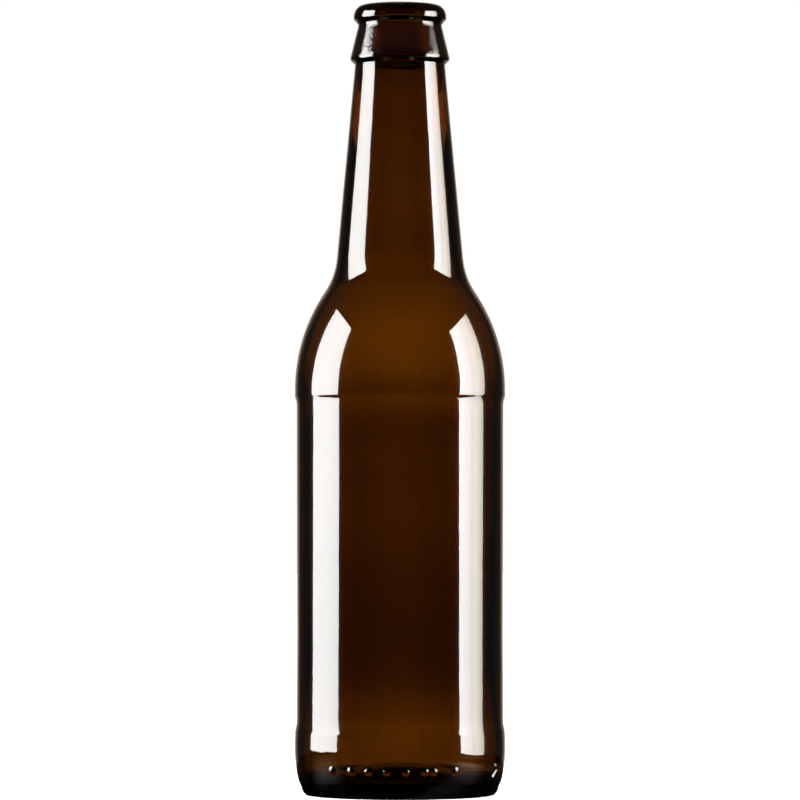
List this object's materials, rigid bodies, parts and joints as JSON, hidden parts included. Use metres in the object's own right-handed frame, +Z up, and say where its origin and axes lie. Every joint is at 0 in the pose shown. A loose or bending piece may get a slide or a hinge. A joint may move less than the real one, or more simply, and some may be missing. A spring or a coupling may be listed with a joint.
{
  "type": "beer bottle",
  "caption": "Empty long-neck beer bottle of clear amber glass: open crown finish, tapered neck, round shoulder, shallow label panel, raised dots and fine ridges at the foot.",
  "frame": {"origin": "centre of the bottle's foot, on the surface that it stands on", "axes": "+Z up along the bottle's axis to the mouth, -Y the front, where the row of dots is, +X to the right of the front"},
  "size_m": [0.0608, 0.0609, 0.229],
  "materials": {
    "amber_glass": "clear amber container glass, blown in a mould, smooth and glossy"
  },
  "bodies": {
    "root": {"bottle": "amber_glass"}
  },
  "joints": []
}
